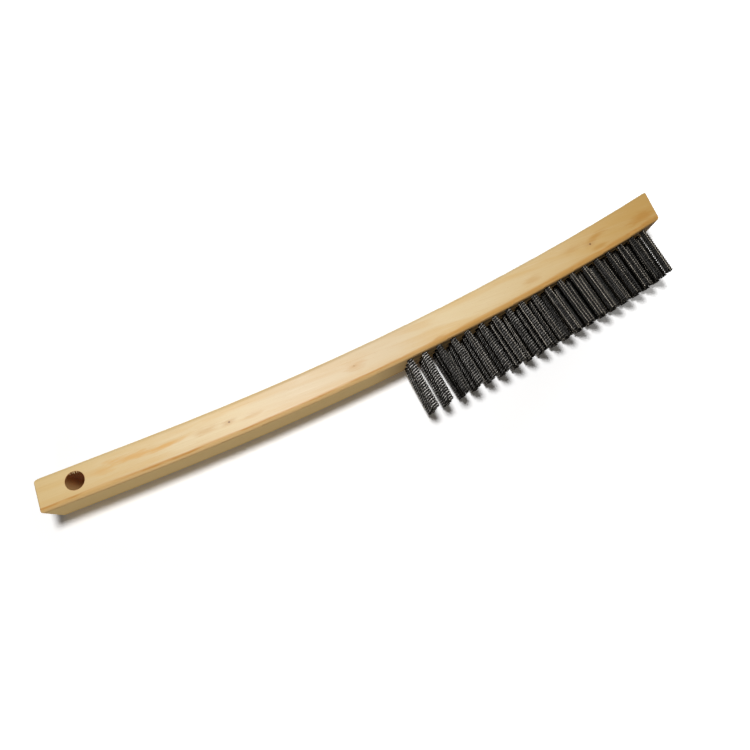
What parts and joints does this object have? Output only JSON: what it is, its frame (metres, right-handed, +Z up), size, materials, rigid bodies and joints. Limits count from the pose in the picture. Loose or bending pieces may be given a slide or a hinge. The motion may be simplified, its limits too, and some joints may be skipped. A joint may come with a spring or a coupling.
{
  "type": "wire scratch brush",
  "caption": "Bowed hardwood block with a hanging hole in its handle end and three rows of crimped steel wire tufts along its convex side.",
  "frame": {"origin": "centre of the underside as the brush lies on its side", "axes": "+X runs from the handle end to the toe, the tufts point to -Y, +Z is up through the block's width and along the hanging hole"},
  "size_m": [0.3524, 0.0706, 0.0222],
  "materials": {
    "hardwood": "bare, sanded, with burnished edges",
    "bristle_wire": "dark oiled crimped carbon steel wire",
    "anchor_wire": "plain flat wire"
  },
  "bodies": {
    "root": {"block": "hardwood", "anchors": "anchor_wire", "tuft_upper_01": "bristle_wire", "tuft_upper_02": "bristle_wire", "tuft_upper_03": "bristle_wire", "tuft_upper_04": "bristle_wire", "tuft_upper_05": "bristle_wire", "tuft_upper_06": "bristle_wire", "tuft_upper_07": "bristle_wire", "tuft_upper_08": "bristle_wire", "tuft_upper_09": "bristle_wire", "tuft_upper_10": "bristle_wire", "tuft_upper_11": "bristle_wire", "tuft_upper_12": "bristle_wire", "tuft_upper_13": "bristle_wire", "tuft_upper_14": "bristle_wire", "tuft_upper_15": "bristle_wire", "tuft_upper_16": "bristle_wire", "tuft_upper_17": "bristle_wire", "tuft_upper_18": "bristle_wire", "tuft_upper_19": "bristle_wire", "tuft_middle_01": "bristle_wire", "tuft_middle_02": "bristle_wire", "tuft_middle_03": "bristle_wire", "tuft_middle_04": "bristle_wire", "tuft_middle_05": "bristle_wire", "tuft_middle_06": "bristle_wire", "tuft_middle_07": "bristle_wire", "tuft_middle_08": "bristle_wire", "tuft_middle_09": "bristle_wire", "tuft_middle_10": "bristle_wire", "tuft_middle_11": "bristle_wire", "tuft_middle_12": "bristle_wire", "tuft_middle_13": "bristle_wire", "tuft_middle_14": "bristle_wire", "tuft_middle_15": "bristle_wire", "tuft_middle_16": "bristle_wire", "tuft_middle_17": "bristle_wire", "tuft_middle_18": "bristle_wire", "tuft_middle_19": "bristle_wire", "tuft_lower_01": "bristle_wire", "tuft_lower_02": "bristle_wire", "tuft_lower_03": "bristle_wire", "tuft_lower_04": "bristle_wire", "tuft_lower_05": "bristle_wire", "tuft_lower_06": "bristle_wire", "tuft_lower_07": "bristle_wire", "tuft_lower_08": "bristle_wire", "tuft_lower_09": "bristle_wire", "tuft_lower_10": "bristle_wire", "tuft_lower_11": "bristle_wire", "tuft_lower_12": "bristle_wire", "tuft_lower_13": "bristle_wire", "tuft_lower_14": "bristle_wire", "tuft_lower_15": "bristle_wire", "tuft_lower_16": "bristle_wire", "tuft_lower_17": "bristle_wire", "tuft_lower_18": "bristle_wire", "tuft_lower_19": "bristle_wire"}
  },
  "joints": []
}
